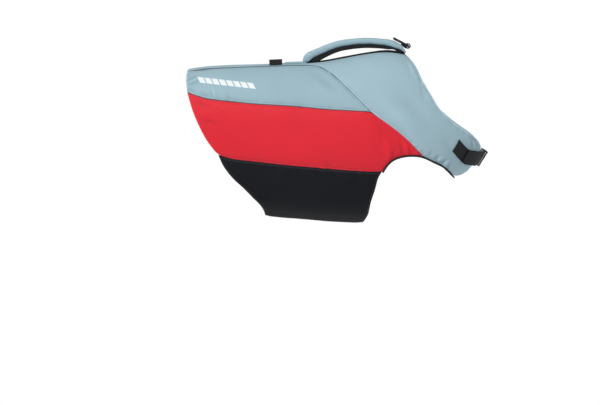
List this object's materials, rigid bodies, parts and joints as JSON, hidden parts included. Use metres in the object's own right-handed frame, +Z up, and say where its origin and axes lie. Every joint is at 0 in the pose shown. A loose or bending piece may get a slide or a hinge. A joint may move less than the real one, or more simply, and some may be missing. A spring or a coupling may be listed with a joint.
{
  "type": "dog life jacket",
  "caption": "Dog's life jacket as worn: foam panels round a hollow trunk, lifting handle and leash ring on the back, belly lap and a buckled chest strap.",
  "frame": {"origin": "inside surface of the back on the middle plane, under the handle, where the wearer carries the jacket", "axes": "+X to the head, +Y to the wearer's left, +Z up from the back"},
  "size_m": [0.5891, 0.2558, 0.3654],
  "materials": {
    "pale_blue_nylon": "pale blue woven nylon over foam, matt with a slight sheen",
    "red_nylon": "red woven nylon over foam, matt with a slight sheen",
    "black_stretch": "black stretch laminate, matt",
    "black_webbing": "black woven webbing and binding",
    "black_plastic": "moulded black acetal, fine texture"
  },
  "bodies": {
    "jacket": {"yoke": "pale_blue_nylon", "upper_side_right": "pale_blue_nylon", "upper_side_left": "pale_blue_nylon", "side_right": "red_nylon", "side_left": "red_nylon", "belly_right": "black_stretch", "belly_left": "black_stretch", "armhole_binding_right": "black_webbing", "armhole_binding_left": "black_webbing", "handle_base": "black_webbing", "handle_strap": "black_webbing", "handle_sleeve": "pale_blue_nylon", "leash_tab": "black_webbing", "back_loop": "black_webbing", "spine_strip": "pale_blue_nylon", "buckle_socket": "black_plastic", "buckle_plug": "black_plastic", "chest_strap_right": "black_webbing", "chest_strap_left": "black_webbing"},
    "leash_ring": {"leash_ring": "black_plastic"}
  },
  "joints": [
    {"name": "leash_ring_hinge", "type": "hinge", "parent": "jacket", "child": "leash_ring", "pos_m": [0.124, 0, 0.0345], "axis": [0, 1, 0], "range_deg": [0, 150]}
  ]
}
